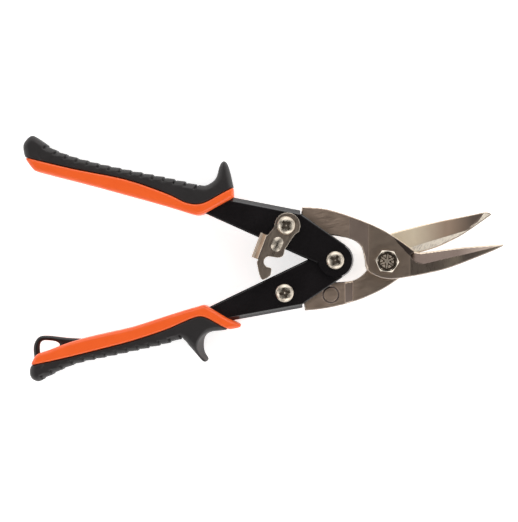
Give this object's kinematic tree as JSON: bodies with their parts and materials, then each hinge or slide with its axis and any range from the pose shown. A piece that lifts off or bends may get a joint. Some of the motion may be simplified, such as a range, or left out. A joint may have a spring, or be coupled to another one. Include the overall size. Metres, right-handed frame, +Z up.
{
  "type": "aviation snips",
  "caption": "Hand snips for sheet metal with compound-action linkage, moulded two-colour grips, a hand guard, hang loop, opening spring and swinging latch hook.",
  "frame": {"origin": "centre of the part's footprint, on the surface that the flat sides of the grips rest on, with the tool lying flat and open", "axes": "+X along the tool towards the blade tips, +Y across it towards the upper handle, +Z up towards the latch side"},
  "size_m": [0.2436, 0.1243, 0.0256],
  "materials": {
    "blade_steel": "satin ground and darkened",
    "latch_steel": "satin, tumbled edges",
    "bolt_steel": "plated, bright edges",
    "nickel": "bright nickel plate",
    "spring_steel": "drawn wire",
    "black_enamel": "gloss black powder coat",
    "orange_plastic": "semi-gloss moulded",
    "grip_rubber": "fine satin",
    "loop_plastic": "moulded, slight gloss"
  },
  "bodies": {
    "lower_jaw": {"lower_jaw_blade": "blade_steel", "pivot_bolt": "bolt_steel", "pivot_washer": "bolt_steel", "pivot_nut": "bolt_steel"},
    "upper_jaw": {"upper_jaw_blade": "blade_steel"},
    "upper_handle": {"upper_handle_channel": "black_enamel", "upper_grip_core": "orange_plastic", "upper_grip_rubber": "grip_rubber", "upper_link_screw": "nickel", "upper_link_nut": "nickel", "tang_spacers": "nickel", "handle_pivot_screw": "nickel", "handle_pivot_nut": "nickel", "handle_pivot_bush": "nickel", "torsion_spring": "spring_steel", "latch_washer": "nickel"},
    "lower_handle": {"lower_handle_channel": "black_enamel", "lower_grip_core": "orange_plastic", "lower_grip_rubber": "grip_rubber", "hang_loop": "loop_plastic", "lower_link_screw": "nickel", "lower_link_nut": "nickel"},
    "latch": {"latch_hook": "latch_steel", "latch_rivet": "nickel"}
  },
  "joints": [
    {"name": "jaw_pivot", "type": "hinge", "parent": "lower_jaw", "child": "upper_jaw", "pos_m": [0.0619, -0.0014, 0.0115], "axis": [0, 0, -1], "range_deg": [0, 16], "stiffness_Nm_per_rad": 3, "springref_deg": -20.05, "deforming": ["torsion_spring"]},
    {"name": "upper_link", "type": "hinge", "parent": "lower_jaw", "child": "upper_handle", "pos_m": [0.0109, 0.01666, 0.0115], "axis": [0, 0, 1], "range_deg": [0, 7.6]},
    {"name": "lower_link", "type": "hinge", "parent": "upper_jaw", "child": "lower_handle", "pos_m": [0.01019, -0.01731, 0.0115], "axis": [0, 0, -1], "range_deg": [0, 7.6]},
    {"name": "latch_pivot", "type": "hinge", "parent": "upper_handle", "child": "latch", "pos_m": [0.0109, 0.01666, 0.0115], "axis": [0, 0, 1], "range_deg": [-22, 8]}
  ],
  "couplings": [
    {"joint": "upper_link", "follows": "jaw_pivot", "ratio": 0.4715},
    {"joint": "lower_link", "follows": "jaw_pivot", "ratio": 0.4715}
  ]
}
